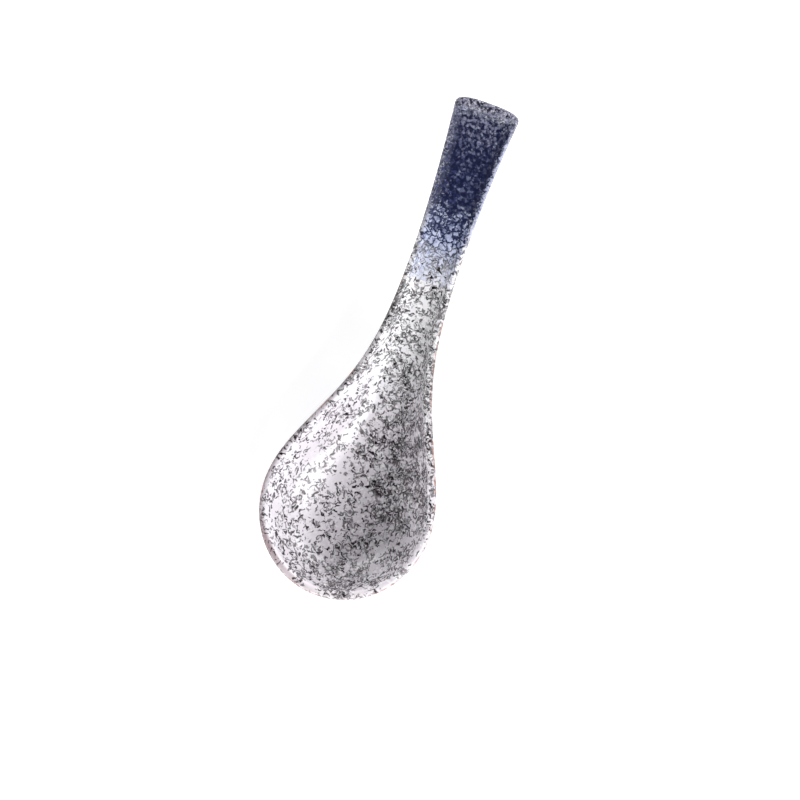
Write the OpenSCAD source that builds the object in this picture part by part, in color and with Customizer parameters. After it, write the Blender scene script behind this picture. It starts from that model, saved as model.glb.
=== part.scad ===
// Ceramic soup spoon: stoneware bowl and handle under a glaze coat.
// The spoon stands on its foot. The origin is on the table, under the bowl's widest section.
// +X runs from the bowl toward the handle and +Z is up.

/* [Spoon] */
// Length seen from above, from the bowl's tip to the handle's end
spoon_l = 133.8; // [122:0.2:146]
// Height of the handle's end above the table
spoon_h = 35; // [30:0.5:44]

/* [Bowl] */
// Width of the bowl over its lip
bowl_w = 45.8; // [40:0.2:52]
// How far the tip lies in front of the widest section
tip_l = 24; // [21:0.5:28]
// Height of the lip at the widest section
lip_h = 17; // [15:0.5:20]
// Extra height of the lip at the tip
tip_lift = 0.6; // [0:0.1:2]
// Depth of the bowl below its lip
bowl_depth = 12; // [10:0.5:13]
// Length of the level floor in front of the widest section
floor_l = 8; // [5:0.5:10]
// Distance over which the bowl's sides draw in toward the neck
flank_l = 30; // [27:0.5:35]
// Distance over which the bowl's depth runs out along the neck
channel_l = 47; // [40:1:50]

/* [Handle] */
// Width of the handle at its narrowest
neck_w = 13; // [11:0.2:16]
// Width of the handle at its end
end_w = 17.6; // [14:0.2:22]
// Length over which the handle flares toward its end
flare_l = 44; // [34:1:52]
// Length of the rounded corners at the handle's end
corner_l = 3; // [2:0.25:5]
// Thickness of the handle under its dish
handle_t = 4.4; // [3.8:0.1:6]
// Depth of the handle's dish below its rims
dish_depth = 0.9; // [0.4:0.1:1.4]
// Where the lip starts to rise toward the handle
rise_x = 12; // [5:1:20]
// Length of the S curve along which it rises, of which the handle's end cuts off the last part
rise_l = 138; // [120:2:160]

/* [Lip] */
// Radius of the bowl's rounded lip
lip_r = 1.2; // [0.9:0.05:1.5]
// Radius of the rims along the handle
rim_r = 1; // [0.8:0.05:1.3]
// Radius of the rim across the handle's end
end_rim_r = 2.2; // [1.2:0.1:2.4]

/* [Foot] */
// Height of the foot below the glazed underside
foot_h = 1; // [0.6:0.1:1.6]
// Width of the foot under the bowl
foot_w = 18; // [14:0.5:19]
// How far the foot reaches in front of the widest section
foot_front = 11.5; // [9:0.5:12.5]
// How far the foot reaches toward the handle
foot_back = 30; // [28:0.5:33]
// Distance behind the foot over which the underside rises to the handle
heel_l = 22; // [18:1:28]

/* [Glaze] */
// Thickness of the glaze coats
glaze_t = 0.35; // [0.2:0.05:0.5]
// Bare margin between the foot and the glaze round it
foot_margin = 0.3; // [0.1:0.1:0.8]

/* [Neck joint] */
// Length of the handle's clay, from its joint on the bowl's neck to its end
handle_l = 47.4; // [46:0.2:56]
// Thickness of the joining slip
slip_t = 0.4; // [0.2:0.1:1]
// Length of the white glaze sleeve, from that joint to the blue dip
sleeve_l = 9.8; // [5:0.2:20]

/* [Hidden] */

// How the outline draws in, squares off at its end and flares
flank_power = 1.95;
corner_power = 3;
flare_power = 2;
// How the channel's depth runs out along the neck
channel_power = 3;
// How far up its ellipse the inner wall runs, in the bowl and in the handle's dish
bowl_wall_share = 0.93;
dish_wall_share = 0.8;
// How square the inner wall's section is, in the bowl and in the handle's dish
bowl_wall_power = 2.2;
dish_wall_power = 6;
// Level part of the underside, as a share of the half width
level_share = 0.46;
// How pointed the foot's tail is
foot_tail_power = 1.3;
// Distance before the clay joint over which the section lines turn straight across
straighten_l = 25;
// How far before the rounded corners the section lines fan out, and the distance over which that grows
end_lag = 5;
end_lag_l = 20;
// Length of the spine from which the last section lines fan out
fan_l = 0.8;

// First guess, in degrees, at the angle at which the inner wall runs into the lip, and steps that refine it
first_angle = 40;
angle_steps = 6;

// Steps of the surface along the spoon and round its section
tip_steps = 10;
flank_steps = 20;
white_steps = 3;
blue_steps = 10;
end_steps = 6;
wall_steps = 7;
lip_steps = 4;
outer_steps = 7;
foot_steps = 12;
// Overrun of a cut past the face that it opens
overrun = 1;

half_w = bowl_w / 2;
half_neck = neck_w / 2;
half_end = end_w / 2;
end_x = spoon_l - tip_l;
corner_x = end_x - corner_l;
flare_x = end_x - flare_l;
joint_x = end_x - handle_l - slip_t;
dip_x = joint_x + sleeve_l;
heel_x = foot_back + foot_margin;

function smooth(t) = let (u = min(max(t, 0), 1)) u * u * (3 - 2 * u);
function blend(a, b, t) = a + (b - a) * t;

// Half width of the outline behind the widest section, and its slope
function flare(x) = max(0, x - flare_x) / (end_x - flare_x);
function draw_in(x) = exp(-pow(max(x, 0) / flank_l, flank_power));
function side(x) = half_neck + (half_w - half_neck) * draw_in(x)
    + (half_end - half_neck) * pow(flare(x), flare_power);
function side_slope(x) =
    -(half_w - half_neck) * draw_in(x) * flank_power / flank_l * pow(max(x, 0) / flank_l, flank_power - 1)
    + (half_end - half_neck) * flare_power * pow(flare(x), flare_power - 1) / (end_x - flare_x);

// A station is a half section of the spoon: [x and y of its outline point, x where it leaves the spine].
// Section lines meet the bowl's outline square and lie straight across the handle from its clay joint on.
function lead(x) = side(x) * side_slope(x) * (1 - smooth((x - joint_x + straighten_l) / straighten_l))
    - end_lag * smooth((x - corner_x + end_lag_l) / end_lag_l);
function tip_station(a) = [-tip_l * cos(a), half_w * sin(a), -floor_l * cos(a)];
function side_station(x) = [x, side(x), x + lead(x)];
function end_station(a) =
    let (along = pow(sin(a), 2 / corner_power), across = pow(max(cos(a), 0), 2 / corner_power),
         x = corner_x + corner_l * along)
    [x, side(x) * across, corner_x + lead(corner_x) + fan_l * along];

function between(x0, x1, steps) = [for (i = [1 : steps]) side_station(blend(x0, x1, i / steps))];
stations = concat(
    [for (i = [0 : tip_steps - 1]) tip_station(90 * i / tip_steps)],
    [side_station(0)],
    between(0, joint_x, flank_steps),
    between(joint_x, joint_x + slip_t, 1),
    between(joint_x + slip_t, dip_x, white_steps),
    between(dip_x, corner_x, blue_steps),
    [for (i = [1 : end_steps]) end_station(90 * i / end_steps)]);
joint_row = tip_steps + flank_steps;
slip_row = joint_row + 1;
dip_row = slip_row + white_steps;
last_row = dip_row + blue_steps + end_steps;

// Heights along the spoon: the lip, the floor's depth below it and the underside
function rise(x) = smooth((x - rise_x) / rise_l) / smooth((end_x - end_rim_r - rise_x) / rise_l);
function lip_z(x) = lip_h + tip_lift * pow(min(x, 0) / tip_l, 2) + (spoon_h - lip_h) * rise(x);
function channel(x) = exp(-pow(max(x, 0) / channel_l, channel_power));
function floor_depth(x) = blend(dish_depth, bowl_depth, channel(x));
function under_z(x) = blend(foot_h, lip_z(x) - floor_depth(x) - handle_t, smooth((x - heel_x) / heel_l));

// Half section: points [distance from the spine, height, and the outward normal's two parts].
// Heights are over the lip line as far as the lip, and over the underside from there on.
function wall_z(share, power, r) = (1 - sqrt(1 - pow(share * r, power))) / (1 - sqrt(1 - pow(share, power)));
function wall_slope(share, power, r) =
    power / 2 * pow(share, power) * pow(r, power - 1) / sqrt(1 - pow(share * r, power))
    / (1 - sqrt(1 - pow(share, power)));

// Angle at which the inner wall runs into the lip's arc, refined step by step from the first guess
function steepness(steps, reach, radius, height, slope) =
    steps == 0 ? first_angle
    : let (a = steepness(steps - 1, reach, radius, height, slope))
    atan((height - radius * (1 - cos(a))) / (reach - radius * (1 + sin(a))) * slope);

function section(s) =
    let (reach = norm([s[0] - s[2], s[1]]),
         bowl = channel(s[2]),
         share = blend(dish_wall_share, bowl_wall_share, bowl),
         power = blend(dish_wall_power, bowl_wall_power, bowl),
         handle_rim_r = blend(rim_r, end_rim_r, smooth((s[0] - corner_x) / corner_l)),
         radius = blend(handle_rim_r, lip_r, bowl),
         depth = floor_depth(s[2]),
         steep = steepness(angle_steps, reach, radius, depth, wall_slope(share, power, 1)),
         wall_r = reach - radius * (1 + sin(steep)),
         wall_h = depth - radius * (1 - cos(steep)),
         level_r = level_share * reach,
         outer_r = reach - level_r,
         outer_h = lip_z(s[0]) - radius - under_z(s[0]))
    concat(
        [for (i = [0 : wall_steps - 1])
            let (r = sin(asin(share) * i / wall_steps) / share,
                 slope = atan(wall_h / wall_r * wall_slope(share, power, r)))
            [wall_r * r, wall_h * wall_z(share, power, r) - depth, -sin(slope), cos(slope)]],
        [for (i = [0 : lip_steps - 1])
            let (a = (90 + steep) * (1 - i / lip_steps))
            [reach - radius * (1 - cos(a)), radius * (sin(a) - 1), cos(a), sin(a)]],
        [for (i = [0 : outer_steps])
            let (a = 90 * i / outer_steps,
                 n = [cos(a) / outer_r, -sin(a) / outer_h])
            [level_r + outer_r * cos(a), outer_h * (1 - sin(a)), n[0] / norm(n), n[1] / norm(n)]],
        [[0, 0, 0, -1]]);
sections = [for (s = stations) section(s)];
last_column = wall_steps + lip_steps + outer_steps + 1;
columns = last_column + 1;
lining_edge = wall_steps;
outer_edge = wall_steps + lip_steps;

// All points of one layer, a given depth under the glaze's surface, on both sides of the spine
function base_z(x, j) = j < outer_edge ? lip_z(x) : under_z(x);
function layer(depth) = [
    for (k = [0 : last_row])
        let (s = stations[k],
             run = [s[0] - s[2], s[1]] / norm([s[0] - s[2], s[1]]))
        for (y_side = [1, -1])
            for (j = [0 : last_column])
                let (p = sections[k][j],
                     r = p[0] - depth * p[2],
                     h = p[1] - depth * p[3])
                [s[2] + run[0] * r, y_side * run[1] * r, base_z(s[2] + run[0] * p[0], j) + h]];
points = concat(layer(0), layer(glaze_t));
layer_size = (last_row + 1) * 2 * columns;
GLAZE = 0;
CLAY = 1;

// Number of a point of either layer. The two sides share their points on the spine and at both ends.
function shared(k, j) = k == 0 || k == last_row || j == 0 || j == last_column;
function at(level, k, j, far) =
    level * layer_size + (2 * k + (far && !shared(k, j) ? 1 : 0)) * columns + j;
function facets(q, flip) =
    flip
    ? [[q[0], q[1], q[2]], [q[0], q[2], q[3]]]
    : [[q[0], q[2], q[1]], [q[0], q[3], q[2]]];

// Faces of a layer. Their diagonals turn with the quarter of the spoon, so that none lies between the sides.
function falling(k, j) = (k < last_row / 2) == (j < last_column / 2);
function patch(level, k, j, far) =
    let (a = at(level, k, j, far),
         b = at(level, k + 1, j, far),
         c = at(level, k + 1, j + 1, far),
         d = at(level, k, j + 1, far))
    falling(k, j) ? [a, b, c, d] : [b, c, d, a];
function skin(level, k0, k1, j0, j1, flip) = [
    for (far = [false, true]) for (k = [k0 : k1 - 1]) for (j = [j0 : j1 - 1])
        each facets(patch(level, k, j, far), far != flip)];

// Faces across the glaze along a row and along a column, and across the clay along a row
function row_wall(k, j0, j1, flip) = [
    for (far = [false, true]) for (j = [j0 : j1 - 1])
        each facets([at(GLAZE, k, j, far), at(GLAZE, k, j + 1, far),
                     at(CLAY, k, j + 1, far), at(CLAY, k, j, far)], far != flip)];
function column_wall(j, k0, k1, flip) = [
    for (far = [false, true]) for (k = [k0 : k1 - 1])
        each facets([at(GLAZE, k, j, far), at(GLAZE, k + 1, j, far),
                     at(CLAY, k + 1, j, far), at(CLAY, k, j, far)], far != flip)];
function cut_face(k, flip) = [
    for (far = [false, true]) for (j = [0 : floor(last_column / 2) - 1])
        let (under = last_column - j)
        each facets([at(CLAY, k, j, far), at(CLAY, k, j + 1, far),
                     at(CLAY, k, under - 1, far), at(CLAY, k, under, far)], far != flip)];

// Clay between two rows of the surface
module clay(k0, k1) {
    polyhedron(points, concat(
        skin(CLAY, k0, k1, 0, last_column, false),
        k0 > 0 ? cut_face(k0, false) : [],
        k1 < last_row ? cut_face(k1, true) : []));
}

// Coat over the clay between two rows and two columns of the surface
module coat(k0, k1, j0, j1) {
    polyhedron(points, concat(
        skin(GLAZE, k0, k1, j0, j1, false),
        skin(CLAY, k0, k1, j0, j1, true),
        k0 > 0 ? row_wall(k0, j0, j1, false) : [],
        k1 < last_row ? row_wall(k1, j0, j1, true) : [],
        j0 > 0 ? column_wall(j0, k0, k1, true) : [],
        j1 < last_column ? column_wall(j1, k0, k1, false) : []));
}

// Egg-shaped outline of the foot, grown by a margin
module foot_outline(margin) {
    front_l = foot_front + margin;
    tail_l = foot_back + margin;
    half = foot_w / 2 + margin;
    front = [for (i = [0 : foot_steps]) let (a = 90 * i / foot_steps) [-front_l * cos(a), half * sin(a)]];
    tail = [for (i = [1 : foot_steps])
        let (a = 90 * i / foot_steps) [tail_l * sin(a), half * pow(max(cos(a), 0), foot_tail_power)]];
    upper = concat(front, tail);
    lower = [for (i = [len(upper) - 2 : -1 : 1]) [upper[i][0], -upper[i][1]]];
    polygon(concat(upper, lower));
}

module bowl_body() {
    color("tan") clay(0, joint_row);
}

module handle_body() {
    color("burlywood") clay(slip_row, last_row);
}

module joint_slip() {
    color("sienna") clay(joint_row, slip_row);
}

module foot() {
    color("peru") linear_extrude(foot_h + glaze_t) foot_outline(0);
}

module bowl_lining_glaze() {
    color("white") coat(0, joint_row, 0, lining_edge);
}

module bowl_outer_glaze() {
    color("ghostwhite") difference() {
        coat(0, joint_row, outer_edge, last_column);
        translate([0, 0, foot_h - overrun]) linear_extrude(glaze_t + 2 * overrun) foot_outline(foot_margin);
    }
}

module lip_band() {
    color("saddlebrown") coat(0, joint_row, lining_edge, outer_edge);
}

module neck_glaze() {
    color("lavender") coat(joint_row, dip_row, 0, last_column);
}

module handle_dip_glaze() {
    color("midnightblue") coat(dip_row, last_row, 0, last_column);
}

bowl_body();
handle_body();
joint_slip();
foot();
bowl_lining_glaze();
bowl_outer_glaze();
lip_band();
neck_glaze();
handle_dip_glaze();
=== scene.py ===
import math

import bpy
import numpy as np
from mathutils import Matrix, Vector


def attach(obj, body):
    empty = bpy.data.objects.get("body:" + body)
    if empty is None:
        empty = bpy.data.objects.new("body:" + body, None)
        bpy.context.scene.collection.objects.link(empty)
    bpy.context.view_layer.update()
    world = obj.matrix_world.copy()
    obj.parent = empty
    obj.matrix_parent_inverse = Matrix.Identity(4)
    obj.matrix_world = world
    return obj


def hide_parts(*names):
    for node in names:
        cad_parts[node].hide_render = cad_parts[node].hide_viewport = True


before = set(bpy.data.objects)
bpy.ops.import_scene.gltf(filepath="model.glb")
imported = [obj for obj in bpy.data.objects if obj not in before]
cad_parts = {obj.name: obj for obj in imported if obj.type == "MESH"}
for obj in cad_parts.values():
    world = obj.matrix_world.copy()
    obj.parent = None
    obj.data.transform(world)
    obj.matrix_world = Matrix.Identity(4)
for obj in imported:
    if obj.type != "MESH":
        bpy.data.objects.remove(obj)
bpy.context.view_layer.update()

# The table and the light. The spoon lies on a plain white acrylic table that is lit a little from below, and
# is looked at from straight above its bowl, a little from its right side, through a long lens. A wide softbox
# stands on the right, low ones stand past the tip and past the handle, and pale walls fill the shade.
table_size = 12.0
table_white, table_roughness = (0.93, 0.93, 0.93, 1), 0.9
under_light, under_light_strength = (1.0, 1.0, 1.0, 1), 0.44
bpy.ops.mesh.primitive_plane_add(size=table_size, location=(0, 0, 0))
table = bpy.context.object
table.name = "white_table"
acrylic = bpy.data.materials.new("white_table_acrylic")
acrylic.use_nodes = True
acrylic_surface = acrylic.node_tree.nodes["Principled BSDF"]
acrylic_surface.inputs["Base Color"].default_value = table_white
acrylic_surface.inputs["Roughness"].default_value = table_roughness
acrylic_surface.inputs["Emission Color"].default_value = under_light
acrylic_surface.inputs["Emission Strength"].default_value = under_light_strength
table.data.materials.append(acrylic)


class Wash:
    """One socket of a finish. Sums on it are written as arithmetic, and any other node comes from node()."""

    def __init__(self, tree, socket=None):
        self.tree, self.socket = tree, socket

    def node(self, kind, settings, sockets, out=0):
        made = self.tree.nodes.new(kind)
        for name, value in settings.items():
            setattr(made, name, value)
        for name, value in sockets.items():
            if isinstance(value, Wash):
                self.tree.links.new(value.socket, made.inputs[name])
            else:
                made.inputs[name].default_value = value
        return Wash(self.tree, made.outputs[out])

    def also(self, out):
        return Wash(self.tree, self.socket.node.outputs[out])

    def sum(self, operation, *terms):
        numbers = [isinstance(term, (int, float)) for term in terms]
        if all(number or isinstance(term, Wash) and term.socket.type == "VALUE"
               for number, term in zip(numbers, terms)):
            return self.node("ShaderNodeMath", {"operation": operation}, dict(enumerate(terms)))
        spread = [(term,) * 3 if number else term for number, term in zip(numbers, terms)]
        return self.node("ShaderNodeVectorMath", {"operation": operation}, dict(enumerate(spread)))

    def __add__(self, other):
        return self.sum("ADD", self, other)

    def __radd__(self, other):
        return self.sum("ADD", other, self)

    def __sub__(self, other):
        return self.sum("SUBTRACT", self, other)

    def __rsub__(self, other):
        return self.sum("SUBTRACT", other, self)

    def __mul__(self, other):
        return self.sum("MULTIPLY", self, other)

    def __rmul__(self, other):
        return self.sum("MULTIPLY", other, self)

    def __pow__(self, other):
        return self.sum("POWER", self, other)

    def __abs__(self):
        return self.sum("ABSOLUTE", self)

    def dot(self, other):
        return self.node("ShaderNodeVectorMath", {"operation": "DOT_PRODUCT"}, {0: self, 1: other}, out="Value")


wall_white, ceiling_glow, wall_glow, wall_fade = (0.98, 0.98, 1.0, 1), 0.05, 0.9, 3.0
walls = bpy.data.worlds.new("white_walls")
walls.use_nodes = True
walls_light = walls.node_tree.nodes["Background"]
outward = Wash(walls.node_tree).node("ShaderNodeTexCoord", {}, {}, out="Generated")
upward = abs(outward.node("ShaderNodeSeparateXYZ", {}, {"Vector": outward}, out="Z"))
glow = ceiling_glow + (1 - upward) ** wall_fade * wall_glow
walls_light.inputs["Color"].default_value = wall_white
walls.node_tree.links.new(glow.socket, walls_light.inputs["Strength"])
bpy.context.scene.world = walls

lit_place, softbox_off = Vector((0.03, 0.0, 0.015)), 0.85


def softbox(name, toward, width, height, power):
    light = bpy.data.objects.new(name, bpy.data.lights.new(name, "AREA"))
    light.data.shape = "RECTANGLE"
    light.data.size, light.data.size_y = width, height
    light.data.energy = power
    direction = Vector(toward).normalized()
    light.location = lit_place + softbox_off * direction
    light.rotation_mode = "QUATERNION"
    light.rotation_quaternion = direction.to_track_quat("Z", "Y")
    bpy.context.scene.collection.objects.link(light)


softbox("right_softbox", toward=(-0.30, -0.73, 0.62), width=0.72, height=0.52, power=7.6)
softbox("tip_softbox", toward=(-0.98, 0.0, 0.24), width=0.50, height=0.34, power=4.6)
softbox("right_handle_softbox", toward=(0.85, -0.49, 0.24), width=0.80, height=0.36, power=5.2)
softbox("left_handle_softbox", toward=(0.60, 0.77, 0.24), width=0.60, height=0.34, power=3.4)
softbox("left_tip_softbox", toward=(-0.50, 0.84, 0.21), width=0.40, height=0.34, power=1.0)

aim, camera_off = Vector((0.0311, -0.0035, 0.020)), 0.9
camera_lens, sensor_w = 156.8565, 36.0
tilt, turn = math.radians(-6), math.radians(20.47)
back = Vector((0, math.sin(tilt), math.cos(tilt)))
along = Vector((1, 0, 0))
aside = Vector((0, math.cos(tilt), -math.sin(tilt)))
right = math.sin(turn) * along - math.cos(turn) * aside
up = math.cos(turn) * along + math.sin(turn) * aside
camera = bpy.data.objects.new("camera", bpy.data.cameras.new("camera"))
camera.data.sensor_width = sensor_w
camera.data.lens = camera_lens
camera.data.clip_start, camera.data.clip_end = 0.05, 20
camera_turn = Matrix((right, up, back)).transposed().to_4x4()
camera.matrix_world = Matrix.Translation(aim + camera_off * back) @ camera_turn
bpy.context.scene.collection.objects.link(camera)
bpy.context.scene.camera = camera
bpy.context.scene.view_settings.view_transform = "Standard"

# The foot: a low egg-shaped pad of buff stoneware, one with the bowl's clay. It is sponged clean of glaze
# before firing, so it stays matt and sandy, with its edge rounded off by the sponge.
mm = 0.001
foot_h, foot_w, foot_front, foot_back = 1.0, 18.0, 11.5, 30.0
foot_tail_power = 1.3
foot_edge_r = 0.28
glaze_t = 0.35
foot_middle = 0.25 * foot_back
outline_steps, edge_turns = 49, (22.5, 45, 67.5, 90)
underside_rings = (0.93, 0.8, 0.62, 0.42, 0.2)
sharp_over = math.radians(50)


def foot_outline():
    turns = np.linspace(0, 0.5 * np.pi, outline_steps)
    front = np.c_[-foot_front * np.cos(turns), foot_w / 2 * np.sin(turns)]
    tail = np.c_[foot_back * np.sin(turns), foot_w / 2 * np.maximum(np.cos(turns), 0) ** foot_tail_power][1:]
    upper = np.vstack([front, tail])
    return np.vstack([upper, (upper * (1, -1))[-2:0:-1]])


def foot_pad():
    outline = foot_outline()
    ahead = np.roll(outline, -1, 0) - np.roll(outline, 1, 0)
    inward = np.c_[ahead[:, 1], -ahead[:, 0]]
    inward /= np.linalg.norm(inward, axis=1)[:, None]
    rings = [(0.0, foot_h + glaze_t), (0.0, foot_edge_r)]
    for a in np.radians(edge_turns):
        rings.append((foot_edge_r * (1 - math.cos(a)), foot_edge_r * (1 - math.sin(a))))
    points = [np.c_[(outline + inward * depth), np.full(len(outline), z)] for depth, z in rings]
    centre, rim = np.array([foot_middle, 0.0]), points[-1][:, :2]
    for share in underside_rings:
        points.append(np.c_[centre + (rim - centre) * share, np.zeros(len(outline))])
    around, last = len(outline), (len(points) - 1) * len(outline)
    under_tip, over_tip = len(points) * around, len(points) * around + 1
    vertices = np.vstack(points + [[[*centre, 0.0]], [[*centre, foot_h + glaze_t]]]) * mm
    faces = []
    for ring in range(len(points) - 1):
        for i in range(around):
            a, b = ring * around + i, ring * around + (i + 1) % around
            faces.append((a, b, b + around, a + around))
    faces += [(last + i, last + (i + 1) % around, under_tip) for i in range(around)]
    faces += [((i + 1) % around, i, over_tip) for i in range(around)]
    mesh = bpy.data.meshes.new("foot_pad")
    mesh.from_pydata([tuple(v) for v in vertices], [], faces)
    mesh.shade_smooth()
    mesh.set_sharp_from_angle(angle=sharp_over)
    pad = bpy.data.objects.new("foot_pad", mesh)
    bpy.context.scene.collection.objects.link(pad)
    return pad


def rising(value, low, high):
    return value.node("ShaderNodeMapRange", {"interpolation_type": "SMOOTHSTEP"},
                      {"Value": value, "From Min": low, "From Max": high})


def mottle(place, per_mm, detail=2.0, roughness=0.5):
    return place.node("ShaderNodeTexNoise", {},
                      {"Vector": place, "Scale": per_mm, "Detail": detail, "Roughness": roughness})


def stain(share, under, over):
    return share.node("ShaderNodeMix", {"data_type": "RGBA"}, {0: share, 6: under, 7: over}, out=2)


def new_finish(name):
    finish = bpy.data.materials.new(name)
    finish.use_nodes = True
    place = Wash(finish.node_tree).node("ShaderNodeTexCoord", {}, {}, out="Object") * (1 / mm)
    return finish, finish.node_tree.nodes["Principled BSDF"], place


def wire(surface, name, wash):
    wash.tree.links.new(wash.socket, surface.inputs[name])


clay_fleck, clay_gloss = (0.16, 0.09, 0.06, 1), 0.25


def bare_clay(name, pale, dark, grain_height):
    finish, surface, place = new_finish(name)
    grain = mottle(place, 2.6, 4.0, 0.65)
    patch = mottle(place, 0.16)
    flecks = rising(mottle(place, 1.7, 1.0), 0.69, 0.76)
    sponge = mottle(place * (0.35, 1.9, 1.0), 1.0, 3.0)
    clay = stain(rising(grain * 0.55 + patch * 0.45, 0.36, 0.66), dark, pale)
    wire(surface, "Base Color", stain(flecks * 0.7, clay, clay_fleck))
    wire(surface, "Roughness", 0.78 + grain * 0.18)
    wire(surface, "Normal", place.node("ShaderNodeBump", {}, {"Strength": 0.7, "Distance": grain_height * mm,
                                                              "Height": grain * 0.7 + sponge * 0.3}))
    surface.inputs["Specular IOR Level"].default_value = clay_gloss
    return finish


bare_foot = bare_clay("bare_foot", (0.66, 0.54, 0.42, 1), (0.47, 0.36, 0.26, 1), grain_height=0.09)
pad = foot_pad()
pad.data.materials.append(bare_foot)
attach(pad, "root")
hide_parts("foot")

# The clay bowl and the clay handle: buff stoneware, pressed over a mould and joined at the neck with slip.
# They are fired hard under the glaze, and show only in the narrow ring that is left bare round the foot.
stoneware = bare_clay("fired_stoneware", (0.60, 0.49, 0.38, 1), (0.42, 0.32, 0.24, 1), grain_height=0.06)
joining_slip = bare_clay("fired_joining_slip", (0.50, 0.40, 0.31, 1), (0.36, 0.27, 0.20, 1), grain_height=0.04)
clay_pieces = (("bowl_body", stoneware), ("handle_body", stoneware), ("joint_slip", joining_slip))
for clay_node, clay_finish in clay_pieces:
    clay_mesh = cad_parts[clay_node].data
    clay_mesh.materials.clear()
    clay_mesh.materials.append(clay_finish)

# The bowl's lining: white glaze poured into the bowl and run out along the neck. It is 0.35 mm thick and
# glossy, and iron grains boiled up between its bubbles, which leaves short dark worm-like strokes.
spoon_l, spoon_h = 133.8, 35.0
bowl_w, tip_l, lip_h, tip_lift, bowl_depth = 45.8, 24.0, 17.0, 0.6, 12.0
floor_l, flank_l, channel_l = 8.0, 30.0, 47.0
neck_w, end_w, flare_l, corner_l = 13.0, 17.6, 44.0, 3.0
handle_t, dish_depth, rise_x, rise_l = 4.4, 0.9, 12.0, 138.0
lip_r, rim_r, end_rim_r, heel_l, foot_margin = 1.2, 1.0, 2.2, 22.0, 0.3
handle_l, slip_t, sleeve_l = 47.4, 0.4, 9.8
flank_power, corner_power, flare_power, channel_power = 1.95, 3.0, 2.0, 3.0
bowl_wall_share, dish_wall_share, level_share = 0.93, 0.8, 0.46
bowl_wall_power, dish_wall_power = 2.2, 6.0
straighten_l, end_lag, end_lag_l, fan_l, bead_run = 25.0, 5.0, 20.0, 0.8, 1.5
half_w, half_neck, half_end = bowl_w / 2, neck_w / 2, end_w / 2
end_x = spoon_l - tip_l
corner_x, flare_x, joint_x = end_x - corner_l, end_x - flare_l, end_x - handle_l - slip_t
dip_x = joint_x + sleeve_l
heel_x = foot_back + foot_margin


def smooth(t):
    u = np.clip(t, 0, 1)
    return u * u * (3 - 2 * u)


def blend(a, b, t):
    return a + (b - a) * t


def flare(x):
    return np.maximum(0, x - flare_x) / (end_x - flare_x)


def draw_in(x):
    return np.exp(-(np.maximum(x, 0) / flank_l) ** flank_power)


def side(x):
    return half_neck + (half_w - half_neck) * draw_in(x) + (half_end - half_neck) * flare(x) ** flare_power


def side_slope(x):
    drawing_in = flank_power / flank_l * (np.maximum(x, 0) / flank_l) ** (flank_power - 1) * draw_in(x)
    flaring = flare_power / (end_x - flare_x) * flare(x) ** (flare_power - 1)
    return (half_end - half_neck) * flaring - (half_w - half_neck) * drawing_in


def lead(x):
    return (side(x) * side_slope(x) * (1 - smooth((x - joint_x + straighten_l) / straighten_l))
            - end_lag * smooth((x - corner_x + end_lag_l) / end_lag_l))


def rise(x):
    return smooth((x - rise_x) / rise_l) / smooth((end_x - end_rim_r - rise_x) / rise_l)


def lip_z(x):
    return lip_h + tip_lift * (np.minimum(x, 0) / tip_l) ** 2 + (spoon_h - lip_h) * rise(x)


def channel(x):
    return np.exp(-(np.maximum(x, 0) / channel_l) ** channel_power)


def floor_depth(x):
    return blend(dish_depth, bowl_depth, channel(x))


def under_z(x):
    return blend(foot_h, lip_z(x) - floor_depth(x) - handle_t, smooth((x - heel_x) / heel_l))


def wall_slope(share, power, r):
    return (power / 2 * share ** power * r ** (power - 1) / np.sqrt(1 - (share * r) ** power)
            / (1 - np.sqrt(1 - share ** power)))


# Rows run from the tip along one side to the handle's end: a point of the outline, and the point of the spine
# that its section starts from. Columns run up the inner wall, over the lip, down the outside and underneath.
tip_rows, flank_rows, sleeve_rows, dip_rows, end_rows = 44, 92, 15, 52, 24
tip_turn = np.linspace(0, np.pi / 2, tip_rows, endpoint=False)
side_run = np.concatenate([np.linspace(0, joint_x, flank_rows, endpoint=False),
                           np.linspace(joint_x, dip_x, sleeve_rows, endpoint=False),
                           np.linspace(dip_x, corner_x, dip_rows)])
end_turn = np.linspace(0, np.pi / 2, end_rows + 1)[1:]
end_along = np.sin(end_turn) ** (2 / corner_power)
end_run = corner_x + corner_l * end_along
station_x = np.concatenate([-tip_l * np.cos(tip_turn), side_run, end_run])
station_y = np.concatenate([half_w * np.sin(tip_turn), side(side_run),
                            side(end_run) * np.maximum(np.cos(end_turn), 0) ** (2 / corner_power)])
station_y[0] = station_y[-1] = 0.0
spine_x = np.concatenate([-floor_l * np.cos(tip_turn), side_run + lead(side_run),
                          corner_x + lead(corner_x) + fan_l * end_along])
joint_row, dip_row = tip_rows + flank_rows, tip_rows + flank_rows + sleeve_rows
last_row = len(station_x) - 1
wall_columns, lip_columns, outer_columns, level_columns, bead_columns = 42, 22, 30, 12, 5
lining_edge = wall_columns
outer_edge = lining_edge + lip_columns
last_column = outer_edge + outer_columns + level_columns + bead_columns
steep_guess, steep_rounds, reach_halvings = math.radians(40), 6, 40


def foot_reach(x, x_share, y_share, limit):
    """How far from the spine each section meets the foot's outline, found by halving."""
    near, far = np.zeros_like(limit), limit.copy()
    half, front, tail = foot_w / 2 + foot_margin, foot_front + foot_margin, foot_back + foot_margin

    def outside(r):
        px, py = x + x_share * r, y_share * r
        return np.where(px < 0, (px / front) ** 2 + (py / half) ** 2,
                        (px / tail) ** 2 + (np.abs(py) / half) ** (2 / foot_tail_power)) > 1

    for _ in range(reach_halvings):
        middle = (near + far) / 2
        out = outside(middle)
        near, far = np.where(out, near, middle), np.where(out, middle, far)
    return np.where(outside(np.zeros_like(limit)), 0.0, near)


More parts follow.
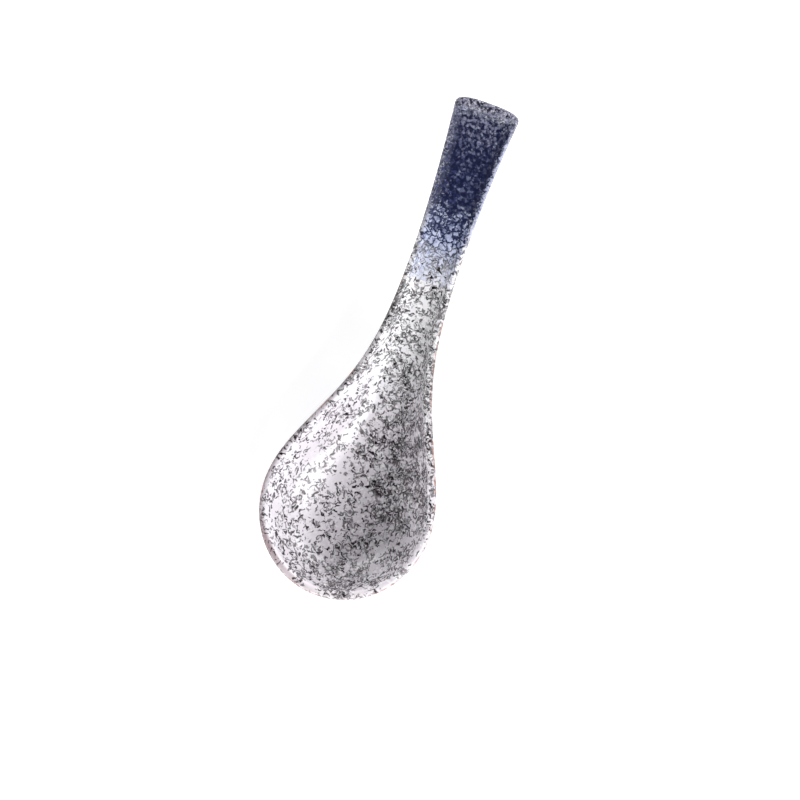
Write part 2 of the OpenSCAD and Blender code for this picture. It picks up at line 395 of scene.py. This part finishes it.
def coat_layer(depth):
    """The surface that lies depth under the glaze's face, and how far across the section each column lies."""
    run = np.c_[station_x - spine_x, station_y]
    reach = np.linalg.norm(run, axis=1)
    run = run / reach[:, None]
    bowl = channel(spine_x)
    share, power = blend(dish_wall_share, bowl_wall_share, bowl), blend(dish_wall_power, bowl_wall_power, bowl)
    rim = blend(rim_r, end_rim_r, smooth((station_x - corner_x) / corner_l))
    radius, sink = blend(rim, lip_r, bowl), floor_depth(spine_x)
    steep = np.full_like(reach, steep_guess)
    for _ in range(steep_rounds):
        steep = np.arctan((sink - radius * (1 - np.cos(steep))) / (reach - radius * (1 + np.sin(steep)))
                          * wall_slope(share, power, 1.0))
    wall_r, wall_h = reach - radius * (1 + np.sin(steep)), sink - radius * (1 - np.cos(steep))
    level_r = level_share * reach
    outer_r, outer_h = reach - level_r, lip_z(station_x) - radius - under_z(station_x)
    foot_r = foot_reach(spine_x, run[:, 0], run[:, 1], level_r)
    bead = glaze_t * smooth(foot_r / bead_run)
    zero, section, across = 0 * reach, [], []

    def point(r, h, normal_r, normal_z, share_across):
        section.append((r, h, normal_r, normal_z))
        across.append(share_across)

    for i in range(wall_columns):
        t = np.sin(np.arcsin(share) * i / wall_columns) / share
        slope = np.arctan(wall_h / wall_r * wall_slope(share, power, t))
        lift = (1 - np.sqrt(1 - (share * t) ** power)) / (1 - np.sqrt(1 - share ** power))
        point(wall_r * t, wall_h * lift - sink, -np.sin(slope), np.cos(slope), i / wall_columns)
    for i in range(lip_columns):
        a = (np.pi / 2 + steep) * (1 - i / lip_columns)
        over_r, over_h = reach - radius * (1 - np.cos(a)), radius * (np.sin(a) - 1)
        point(over_r, over_h, np.cos(a), np.sin(a), 1 + i / lip_columns)
    for i in range(outer_columns):
        a = np.pi / 2 * i / outer_columns
        n = np.array([np.cos(a) / outer_r, -np.sin(a) / outer_h])
        n = n / np.linalg.norm(n, axis=0)
        point(level_r + outer_r * np.cos(a), outer_h * (1 - np.sin(a)), *n, 2 + i / outer_columns)
    for i in range(level_columns):
        point(blend(level_r, foot_r + bead, i / level_columns), zero, zero, zero - 1, 3 + i / level_columns)
    for i in range(bead_columns + 1):
        a = np.pi / 2 * i / bead_columns
        rounded = bead * (1 - np.cos(a)) if depth < glaze_t else zero
        point(foot_r + bead * (1 - np.sin(a)), rounded, zero, zero - 1, 4.0)
    r, h, normal_r, normal_z = (np.stack(values, 1) for values in zip(*section))
    base_x = spine_x[:, None] + run[:, :1] * r
    column = np.arange(last_column + 1)[None, :]
    base = np.where(column < outer_edge, lip_z(base_x), under_z(base_x))
    r, h = r - depth * normal_r, h - depth * normal_z
    layer = np.stack([spine_x[:, None] + run[:, :1] * r, run[:, 1:] * r, base + h], -1)
    return layer, np.array(across)


glaze_layer, across_column = coat_layer(0.0)
clay_layer = coat_layer(glaze_t)[0]
on_spine_y, least_length = 1e-6, 1e-12


def unit(normal):
    return normal / np.maximum(np.linalg.norm(normal, axis=2, keepdims=True), least_length)


def layer_normals(layer):
    down_rows, down_columns = np.gradient(layer, axis=0), np.gradient(layer, axis=1)
    normal = unit(np.cross(down_rows, down_columns))
    normal[0, :, 1] = normal[-1, :, 1] = 0
    normal[:, 0, 1] = 0
    on_spine = np.abs(layer[:, last_column, 1]) < on_spine_y
    normal[on_spine, last_column, 1] = 0
    return unit(normal)


glaze_normals = layer_normals(glaze_layer)


def coat(name, first_row, end_row, first_column, end_column):
    """One coat: its glazed face and its back against the clay, on both sides of the spine, and its edges."""
    rows, columns = end_row - first_row + 1, end_column - first_column + 1
    window = (slice(first_row, end_row + 1), slice(first_column, end_column + 1))
    number = np.arange(2 * 2 * rows * columns).reshape(2, 2, rows, columns)
    places = np.zeros((2, 2, rows, columns, 3))
    normals = np.zeros_like(places)
    for level, layer, facing in ((0, glaze_layer, 1), (1, clay_layer, -1)):
        for far, flip in ((0, 1), (1, -1)):
            places[level, far] = layer[window] * (1, flip, 1)
            normals[level, far] = glaze_normals[window] * (1, flip, 1) * facing
    shared = np.abs(places[:, 0, :, :, 1]) < on_spine_y
    number[:, 1][shared] = number[:, 0][shared]
    faces, facings = [], []

    def add(quads, which, flip):
        for quad, facing in zip(quads, which):
            if flip:
                quad, facing = quad[::-1], facing[::-1]
            keep = [i for i in range(4) if quad[i] != quad[i - 1]]
            if len(keep) > 2:
                faces.append([int(quad[i]) for i in keep])
                facings.extend(facing[keep])

    def quads_of(grid):
        corners = [grid[:-1, :-1], grid[1:, :-1], grid[1:, 1:], grid[:-1, 1:]]
        return np.stack(corners, 2).reshape(-1, 4, *grid.shape[2:])

    for level in (0, 1):
        for far in (0, 1):
            add(quads_of(number[level, far]), quads_of(normals[level, far]), far != level)
    for far in (0, 1):
        edges = []
        if first_row > 0:
            edges.append((number[:, far, 0, :], far == 0))
        if end_row < last_row:
            edges.append((number[:, far, -1, :], far == 1))
        if first_column > 0:
            edges.append((number[:, far, :, 0], far == 1))
        edges.append((number[:, far, :, -1], far == 0))
        for edge, flip in edges:
            grid = np.stack([edge[0][:-1], edge[0][1:], edge[1][1:], edge[1][:-1]], 1)
            add(grid, np.zeros((len(grid), 4, 3)), not flip)
    across = np.broadcast_to(across_column[window[1]], (2, 2, rows, columns))
    used = np.unique(np.concatenate([np.array(face) for face in faces]))
    renumber = np.full(number.size, -1)
    renumber[used] = np.arange(len(used))
    mesh = bpy.data.meshes.new(name)
    mesh.from_pydata([tuple(v) for v in places.reshape(-1, 3)[used] * mm], [],
                     [[int(renumber[i]) for i in face] for face in faces])
    mesh.shade_smooth()
    mesh.normals_split_custom_set([tuple(v) for v in facings])
    held = mesh.attributes.new("across", "FLOAT", "POINT")
    held.data.foreach_set("value", across.reshape(-1)[used].astype(np.float32))
    piece = bpy.data.objects.new(name, mesh)
    bpy.context.scene.collection.objects.link(piece)
    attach(piece, "root")
    return piece


# The white glaze itself. A range is where a change begins and where it is complete, in mm from the bowl's
# widest point toward the handle, or for left_side toward the left. Ranges across the section run from 0 to 1
# up the inner wall, to 2 over the lip, to 3 down the outside and to 4 at the foot.
left_side = (-3.0, 8.0)
past_tip, bowl_middle, bowl_floor = (-20.0, -8.0), (-8.0, 10.0), (-9.0, 5.0)
into_channel, bowl_left_end, bowl_right_end = (26.0, 40.0), (28.0, 45.0), (34.0, 48.0)
neck_white, neck_dense, under_blue = (20.0, 42.0), (36.0, 54.0), (58.0, 68.0)
lip_begins, lip_ends, outside_begins = (0.9, 1.1), (1.9, 2.2), (2.1, 2.6)
stroke_share, right_more, neck_more, under_blue_less = 0.44, 0.20, 0.12, 0.20
lip_more, lip_less, right_tip_more = 0.30, 0.16, 0.16
left_less, left_floor_less = 0.085, 0.06
cool_white, warm_white, fine_grey = (0.74, 0.69, 0.75, 1), (0.82, 0.78, 0.835, 1), (0.60, 0.57, 0.62, 1)
thin_white, painted_glint_white, outside_shade_white = (0.85, 0.86, 0.87, 1), (0.98, 0.97, 0.975, 1), (0.52, 0.495, 0.535, 1)
iron_black, iron_brown = (0.006, 0.004, 0.006, 1), (0.036, 0.024, 0.028, 1)
glass_ior, white_gloss, glaze_relief = 1.52, 0.5, 0.12


def between(value, begins, ends):
    return rising(value, *begins) * (1 - rising(value, *ends))


def sway(noise, reach):
    return (noise - 0.5) * reach


def larger(first, second):
    return first.sum("MAXIMUM", first, second)


def bubbles(place, per_mm, feature="F1", out="Distance"):
    return place.node("ShaderNodeTexVoronoi", {"feature": feature}, {"Vector": place, "Scale": per_mm}, out)


def dashes(place, facing, share, apart, half_long, core, edge):
    """One short iron stroke to a bubble, lying in the glaze's face and in a direction of its own."""
    bubble = bubbles(place, 1 / apart, out="Position")
    luck = bubble.also("Color")
    off = place - bubble
    off = off - facing * off.dot(facing)
    lie = luck - 0.5
    lie = lie - facing * lie.dot(facing)
    lie = lie.node("ShaderNodeVectorMath", {"operation": "NORMALIZE"}, {0: lie})
    run = place.node("ShaderNodeClamp", {}, {"Value": off.dot(lie), "Min": -half_long, "Max": half_long})
    gap = off - lie * run
    gap = gap.node("ShaderNodeVectorMath", {"operation": "LENGTH"}, {0: gap}, out="Value")
    here = rising(share - luck.node("ShaderNodeTexWhiteNoise", {}, {"Vector": luck}, out="Value"), 0.0, 0.03)
    depth = luck.node("ShaderNodeSeparateXYZ", {}, {"Vector": luck}, out="Y") * 0.45 + 0.66
    return (1 - rising(gap, core, edge)) * here * depth


def speckle(place, share, fine):
    """Iron strokes of three lengths, the iron that gathered in the foam, and faint threads between them."""
    facing = place.node("ShaderNodeNewGeometry", {}, {}, out="Normal")
    wobble = place.node("ShaderNodeTexNoise", {}, {"Vector": place, "Scale": 0.85, "Detail": 1.5}, out="Color")
    bent = place + sway(wobble, 2.0)
    share = share + sway(mottle(place, 0.24, 2.0, 0.6), 1.5)
    long_ones = dashes(bent, facing, share, apart=1.7, half_long=0.78, core=0.12, edge=0.36)
    middling = dashes(bent + (31.0, 17.0, 5.0), facing, share, apart=1.4, half_long=0.66, core=0.12, edge=0.34)
    moved, fewer = bent + (7.0, 43.0, 19.0), share * 0.9
    short_ones = dashes(moved, facing, fewer, apart=1.1, half_long=0.36, core=0.10, edge=0.32)
    foam = bubbles(bent, 0.92, "DISTANCE_TO_EDGE")
    foam = (1 - rising(foam + sway(fine, 0.24), 0.05, 0.15)) * 0.95
    foam = foam * rising(mottle(place, 0.6, 1.0) * 0.5 + share * 0.5, 0.53, 0.62)
    threads = 1 - rising(abs(mottle(bent + (3.0, 41.0, 8.0), 0.75, 1.0) - 0.5), 0.012, 0.075)
    threads = threads * rising(mottle(place, 0.9, 1.0) * 0.5 + share * 0.5, 0.44, 0.56) * 0.5
    return larger(larger(larger(larger(long_ones, middling), short_ones), foam), threads), bent


class Pour:
    """A glaze as it is laid on: where a point lies on the spoon, and the colour, height and roughness there."""

    def __init__(self, name):
        self.finish, self.surface, self.place = new_finish(name)
        self.along_x = self.place.node("ShaderNodeSeparateXYZ", {}, {"Vector": self.place}, out="X")
        self.left = rising(self.along_x.also("Y"), *left_side)
        self.across = self.place.node("ShaderNodeAttribute", {"attribute_name": "across"}, {}, out="Fac")
        self.on_lip = between(self.across, lip_begins, lip_ends)
        self.fine = mottle(self.place, 1.6, 2.0, 0.6)
        self.strokes, self.bent = speckle(self.place, self.share(), self.fine)
        self.white = self.ground()

    def share(self):
        """How thickly the iron strokes lie: dense on the bowl's right and on the neck, sparse on its left."""
        x, left = self.along_x, self.left
        share = stroke_share + (1 - left) * between(x, bowl_middle, bowl_right_end) * right_more
        less = left_less + rising(x, *bowl_floor) * left_floor_less
        share = share - left * (1 - rising(x, *bowl_left_end)) * less
        share = share + rising(x, *neck_dense) * neck_more - rising(x, *under_blue) * under_blue_less
        on_rim = larger(left, rising(x, *into_channel)) * rising(x, *past_tip) * lip_more - lip_less
        return share + self.on_lip * on_rim + (1 - left) * (1 - rising(x, *past_tip)) * right_tip_more

    def ground(self):
        """The white: clouded, whiter on the neck, with painted glints, and painted shade darkening the outside.
        """
        white = stain(rising(mottle(self.place, 0.12), 0.35, 0.65), cool_white, warm_white)
        white = stain(rising(self.fine, 0.35, 0.65) * 0.25, white, fine_grey)
        white = stain(rising(self.along_x, *neck_white) * 0.6, white, thin_white)
        # Painted glints: near-white patches, most on the right, stand in for highlights between the strokes.
        foam = (1 - self.left * 0.8) * rising(mottle(self.place, 0.95, 1.0), 0.50, 0.64)
        white = stain(foam * 0.6, white, painted_glint_white)
        # Painted shade: the outside is painted a darker grey-white than the lining, so it shows against the
        # bright floor.
        return stain(rising(self.across, *outside_begins), white, outside_shade_white)

    def lay_strokes(self):
        iron = stain(rising(mottle(self.place, 0.5, 2.0, 0.6), 0.40, 0.66), iron_black, iron_brown)
        self.colour = stain(self.strokes * 0.97, self.white, iron)
        self.height = (1 - self.strokes) * 0.45 + self.fine * 0.4
        self.rough = 0.20 + self.strokes * 0.04

    def fire(self, gloss):
        relief = self.place.node("ShaderNodeBump", {}, {"Strength": 0.6, "Distance": glaze_relief * mm,
                                                        "Height": self.height})
        wire(self.surface, "Base Color", self.colour)
        wire(self.surface, "Roughness", self.rough)
        wire(self.surface, "Normal", relief)
        self.surface.inputs["IOR"].default_value = glass_ior
        self.surface.inputs["Specular IOR Level"].default_value = gloss
        return self.finish


white_pour = Pour("white_speckled_glaze")
white_pour.lay_strokes()
white_glaze = white_pour.fire(white_gloss)
lining = coat("bowl_lining", 0, joint_row, 0, lining_edge)
lining.data.materials.append(white_glaze)
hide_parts("bowl_lining_glaze")

# The lip: where the white glaze breaks over the bowl's rounded edge it runs thin, and the iron in the clay
# burns through as a thin brown line. It is the same poured coat, fired in one with the lining.
tip_fades, left_flank, tip_flank = (-21.0, -12.0), (-22.0, -16.5), (-17.0, -6.0)
bowl_half, channel_run, neck_run, handle_run = (0.0, 20.0), (28.0, 40.0), (56.0, 66.0), (66.0, 74.0)
crest_begins, crest_ends, edge_begins, edge_ends = (1.35, 1.85), (2.15, 2.45), (1.60, 1.80), (2.05, 2.25)
tip_lip_highlight, crest_grey_and_shade, crest_brown = (0.84, 0.79, 0.83, 1), (0.23, 0.19, 0.20, 1), (0.29, 0.195, 0.215, 1)
soot_black, rust_red = (0.060, 0.045, 0.048, 1), (0.33, 0.15, 0.10, 1)


def run_thin(pour):
    """Lip colours: a painted highlight at the tip, a grey crest, brown on the bowl's left, painted shade on the
    left.
    """
    x, left = pour.along_x, pour.left
    # Painted highlight: the lip past the tip is painted whiter, where the light falls on it.
    white = stain(pour.on_lip * (1 - rising(x, *tip_fades)), pour.white, tip_lip_highlight)
    # Painted shade: on the bowl's left the grey crest is widened inward near the tip and darker all along,
    # where the lip faces away from the light.
    widened = pour.across + left * 0.34 * (1 - rising(x, *tip_flank))
    crest_and_shade = rising(widened, *crest_begins) * (1 - rising(pour.across, *crest_ends))
    crest_and_shade = crest_and_shade * (0.46 + left * (0.54 * rising(x, *left_flank) - rising(x, *channel_run) * 0.26))
    crest_and_shade = crest_and_shade * (1 - rising(x, *neck_run)) * (0.55 + pour.fine * 0.6)
    pour.white = stain(crest_and_shade, white, stain(left * (1 - rising(x, *bowl_half)), crest_grey_and_shade, crest_brown))


def burn_through(pour):
    """Specks of soot and stretches of rust along the outer edge of the lip."""
    edge = between(pour.across, edge_begins, edge_ends) * (1 - rising(pour.along_x, *handle_run))
    soot = rising(mottle(pour.place, 1.3, 1.5), 0.50, 0.60) * (0.35 + pour.left * 0.5)
    rust = rising(mottle(pour.place, 0.16, 2.0, 0.6), 0.46, 0.56)
    rust = rust * rising(mottle(pour.place, 0.8, 1.0), 0.36, 0.52)
    pour.colour = stain(edge * soot, pour.colour, soot_black)
    pour.colour = stain(edge * rust * 0.6, pour.colour, rust_red)


lip_pour = Pour("iron_lip_glaze")
run_thin(lip_pour)
lip_pour.lay_strokes()
burn_through(lip_pour)
iron_lip = lip_pour.fire(white_gloss)
lip = coat("iron_lip", 0, joint_row, lining_edge, outer_edge)
lip.data.materials.append(iron_lip)
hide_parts("lip_band")

# The bowl's outside: the same white glaze, dipped, over the outside and the underside as far as the foot,
# where it was wiped back and ends in a small rounded bead.
# Its white is painted darker than the lining's, as painted shade.
outside = coat("bowl_outside", 0, joint_row, outer_edge, last_column)
outside.data.materials.append(white_glaze)
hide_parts("bowl_outer_glaze")

# The neck's sleeve: white glaze all round the lower handle, one coat with the bowl's. The blue of the dip
# above it melted and ran down over it in the kiln, and runs out there in pale blue bubbles.
sleeve_gloss = 0.36

# Ranges in mm from the handle's end toward the neck, then along the spoon, and then across the section.
deep_blue_stops, blue_stops, rim_stops, bubbles_stop = (27.0, 34.0), (38.0, 58.0), (28.0, 42.0), (30.0, 50.0)
strokes_return, pale_begins, web_thins = (36.0, 44.0), (34.0, 46.0), (35.0, 44.0)
web_fades, web_greys, end_bare, right_rim = (38.0, 50.0), (36.0, 46.0), (1.2, 5.6), (5.0, 9.0)
end_brightens, end_greys, end_glints = (94.0, 106.0), (88.0, 103.0), (94.0, 104.0)
rim_begins, rim_ends, rim_shows, rim_smooths = (1.20, 1.68), (2.05, 2.35), (1.15, 1.45), (1.0, 1.4)
wall_shade_begins, wall_shade_ends = (0.45, 0.8), (1.1, 1.3)
deep_navy, blue_slate, grey_slate = (0.006, 0.009, 0.040, 1), (0.105, 0.135, 0.34, 1), (0.165, 0.185, 0.31, 1)
end_slate, pale_lump, blue_glint = (0.205, 0.21, 0.30, 1), (0.30, 0.33, 0.52, 1), (0.42, 0.44, 0.58, 1)
mid_blue, light_blue, palest_blue = (0.20, 0.235, 0.38, 1), (0.52, 0.56, 0.74, 1), (0.66, 0.70, 0.88, 1)
web_navy, web_grey, pit_black = (0.018, 0.024, 0.066, 1), (0.034, 0.040, 0.078, 1), (0.004, 0.005, 0.016, 1)
rim_dark, rim_grey, rim_pit = (0.016, 0.017, 0.034, 1), (0.25, 0.25, 0.335, 1), (0.008, 0.008, 0.018, 1)
rim_glint, rim_painted_highlight = (0.58, 0.57, 0.67, 1), (0.47, 0.50, 0.66, 1)


class Cobalt:
    """The grain of the cobalt over a glaze: patches, lumps, bubbles with a tone of their own, and glints."""

    def __init__(self, pour):
        self.pour = pour
        self.from_end = end_x - pour.along_x
        self.patch = mottle(pour.place, 0.28, 3.0, 0.6)
        self.lumps = mottle(pour.place, 1.1, 2.0, 0.65)
        bubble = bubbles(pour.bent, 0.94)
        self.tone = pour.place.node("ShaderNodeSeparateXYZ", {}, {"Vector": bubble.also("Color")}, out="X")
        self.granule = 1 - rising(bubble + sway(pour.fine, 0.8) + sway(self.lumps, 0.5), 0.12, 0.72)
        self.glint = rising(mottle(pour.place, 1.9, 1.0), 0.57, 0.66)

    def pooled(self):
        """The dark pool: slate-blue granules, greyer toward the end, over navy, with painted shade on the
        dish's side wall.
        """
        x, left, fine = self.pour.along_x, self.pour.left, self.pour.fine
        shine = 0.02 + left * 0.30 + self.tone * 0.76 + sway(self.patch, 1.0) + rising(x, *end_brightens) * 0.8
        # Painted shade: the granules' shine is halved on the dish's side wall, to offset the softbox's
        # reflection there.
        shine = self.granule * shine * (1 - between(self.pour.across, wall_shade_begins, wall_shade_ends) * 0.5)
        slate = stain(rising(self.patch * 0.5 + self.tone * 0.5, 0.36, 0.60), blue_slate, grey_slate)
        slate = stain(rising(x, *end_greys) * 0.85, slate, end_slate)
        navy = stain(shine * (0.55 + fine * 0.75), deep_navy, slate)
        navy = stain(rising(self.lumps + sway(fine, 0.8), 0.58, 0.72) * self.granule * 0.5, navy, pale_lump)
        glint = self.glint * (0.06 + self.granule * rising(self.tone, 0.2, 0.7) * 0.5)
        glint = glint * (0.3 + larger(left * 0.8, rising(x, *end_glints)))
        return stain(rising(fine, 0.54, 0.64) * 0.55, stain(glint, navy, blue_glint), pit_black)

    def running_out(self):
        """The pale bubbles where the blue runs out, with a dark web between them."""
        web = bubbles(self.pour.bent, 0.60, "DISTANCE_TO_EDGE")
        web = web * (1 + rising(self.from_end, *web_thins) * 1.1)
        web = 1 - rising(web + sway(self.pour.fine, 0.36) + sway(self.lumps, 0.2), 0.05, 0.20)
        web = web * (1 - rising(self.from_end, *web_fades) * 0.55)
        pale = stain(rising(self.lumps * 0.6 + self.tone * 0.4, 0.35, 0.70), mid_blue, light_blue)
        pale = stain(rising(self.from_end, *pale_begins) * (1 - self.pour.left * 0.5), pale, palest_blue)
        return stain(web, pale, stain(rising(self.from_end, *web_greys), web_navy, web_grey))

    def rim(self):
        """The thin grey glaze left on the rims and round the end, with a painted highlight along the right rim.
        """
        thin = stain(rising(self.lumps, 0.40, 0.58), rim_dark, rim_grey)
        thin = stain(rising(self.pour.fine, 0.52, 0.62) * 0.8, thin, rim_pit)
        thin = stain(self.glint * 0.8, thin, rim_glint)
        # Painted highlight: the right rim, which faces the light, is painted pale.
        lit = (1 - self.pour.left) * rising(self.from_end, *right_rim) * rising(self.pour.across, *rim_shows)
        return stain(lit * 0.6, thin, rim_painted_highlight)


def dip_in_cobalt(pour):
    cobalt, fine = Cobalt(pour), pour.fine
    from_end, ragged_end = cobalt.from_end, cobalt.from_end + sway(fine, 10.0)
    fade = from_end + sway(fine, 8.0) + sway(cobalt.patch, 14.0) + sway(cobalt.tone, 6.0)
    brim = pour.across + sway(fine, 1.6) + sway(cobalt.lumps, 1.2) + pour.left * 0.12
    inside = 1 - rising(brim, *rim_begins) * (1 - rising(pour.across + sway(fine, 0.6), *rim_ends))
    inside = inside * rising(ragged_end + sway(cobalt.lumps, 8.0), *end_bare)
    touched = (1 - rising(fade, *blue_stops)) * (1 - pour.strokes * rising(from_end, *strokes_return))
    colour = stain((1 - rising(ragged_end, *rim_stops)) * (1 - inside), pour.colour, cobalt.rim())
    colour = stain(touched * inside, colour, cobalt.running_out())
    pour.colour = stain((1 - rising(fade, *deep_blue_stops)) * inside, colour, cobalt.pooled())
    bubbly = 1 - rising(from_end, *bubbles_stop)
    pour.height = pour.height + (cobalt.granule + cobalt.lumps) * 0.35 * bubbly
    pour.rough = pour.rough + (0.20 - rising(pour.across, *rim_smooths) * 0.07) * bubbly


def dipped_glaze(name, gloss):
    pour = Pour(name)
    run_thin(pour)
    pour.lay_strokes()
    dip_in_cobalt(pour)
    burn_through(pour)
    return pour.fire(gloss)


sleeve_glaze = dipped_glaze("neck_sleeve_glaze", sleeve_gloss)
sleeve = coat("neck_sleeve", joint_row, dip_row, 0, last_column)
sleeve.data.materials.append(sleeve_glaze)
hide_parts("neck_glaze")

# The blue dip: cobalt glaze over the handle's end. It pools dark and full of bubbles in the dished top, and
# breaks grey where it runs thin over the rims and round the end.
cobalt_gloss = 0.14
cobalt_glaze = dipped_glaze("cobalt_dip_glaze", cobalt_gloss)
dip = coat("cobalt_dip", dip_row, last_row, 0, last_column)
dip.data.materials.append(cobalt_glaze)
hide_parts("handle_dip_glaze")
